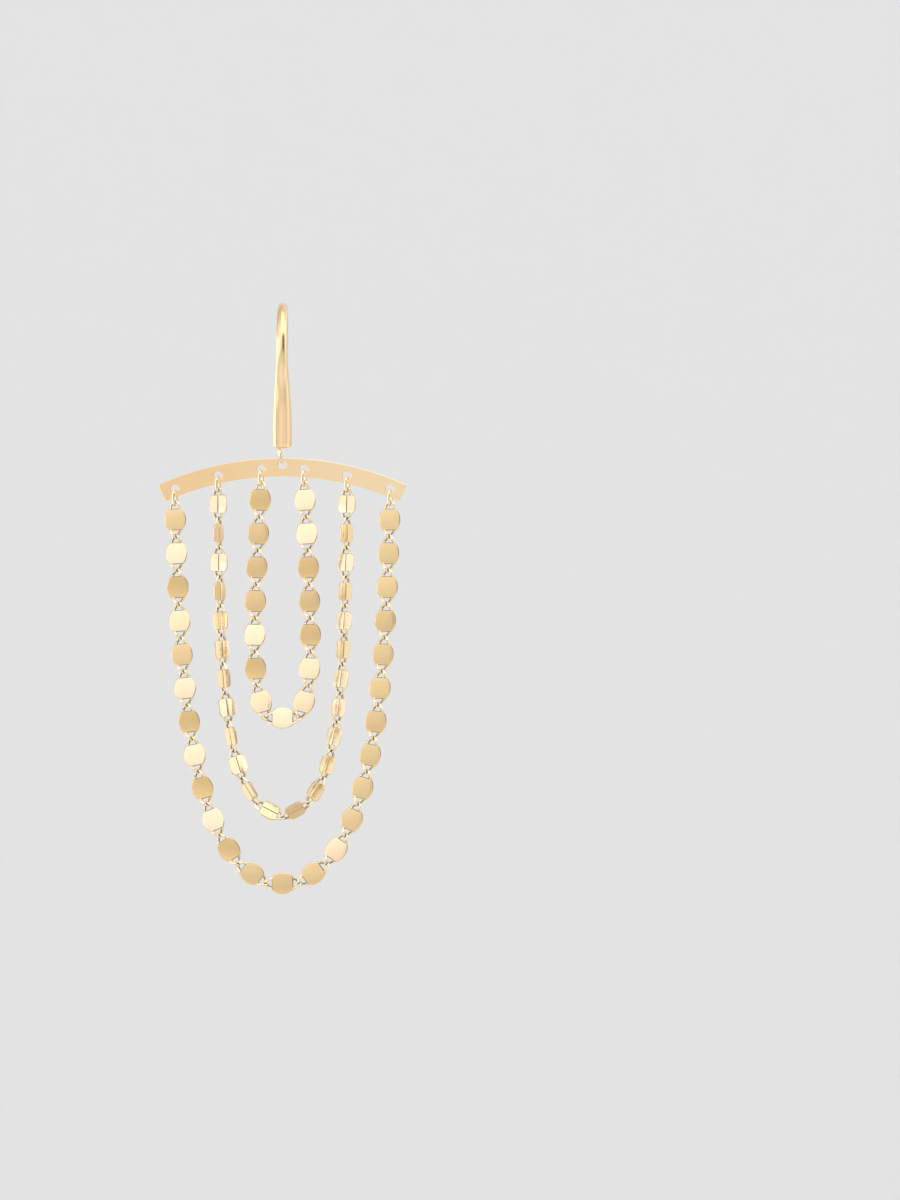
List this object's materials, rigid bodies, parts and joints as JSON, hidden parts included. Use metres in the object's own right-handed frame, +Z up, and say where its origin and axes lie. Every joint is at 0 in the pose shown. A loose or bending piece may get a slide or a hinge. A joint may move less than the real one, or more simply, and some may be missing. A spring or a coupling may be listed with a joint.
{
  "type": "chandelier earring",
  "caption": "Drop earring with a swelling ear hook, an arched crossbar and nested hanging loops of flat mirror chain.",
  "frame": {"origin": "underside of the hook's arch at its top, where the earring hangs", "axes": "+Z up, the front faces -Y, the crossbar runs along X, the hook bends in the YZ plane"},
  "size_m": [0.0268, 0.0086, 0.0636],
  "materials": {
    "polished_gold": "polished yellow gold",
    "wire_gold": "bright yellow gold wire",
    "chain_gold": "mirror-polished pale yellow gold"
  },
  "bodies": {
    "hook": {"ear_hook": "polished_gold"},
    "drop": {"crossbar": "polished_gold", "end_ring_1": "wire_gold", "end_ring_2": "wire_gold", "end_ring_3": "wire_gold", "end_ring_4": "wire_gold", "end_ring_5": "wire_gold", "end_ring_6": "wire_gold", "outer_chain": "chain_gold", "middle_chain": "chain_gold", "inner_chain": "chain_gold"}
  },
  "joints": [
    {"name": "drop_swing", "type": "hinge", "parent": "hook", "child": "drop", "pos_m": [0, -0.00088, -0.01615], "axis": [0, 1, 0], "range_deg": [-30, 30]}
  ]
}
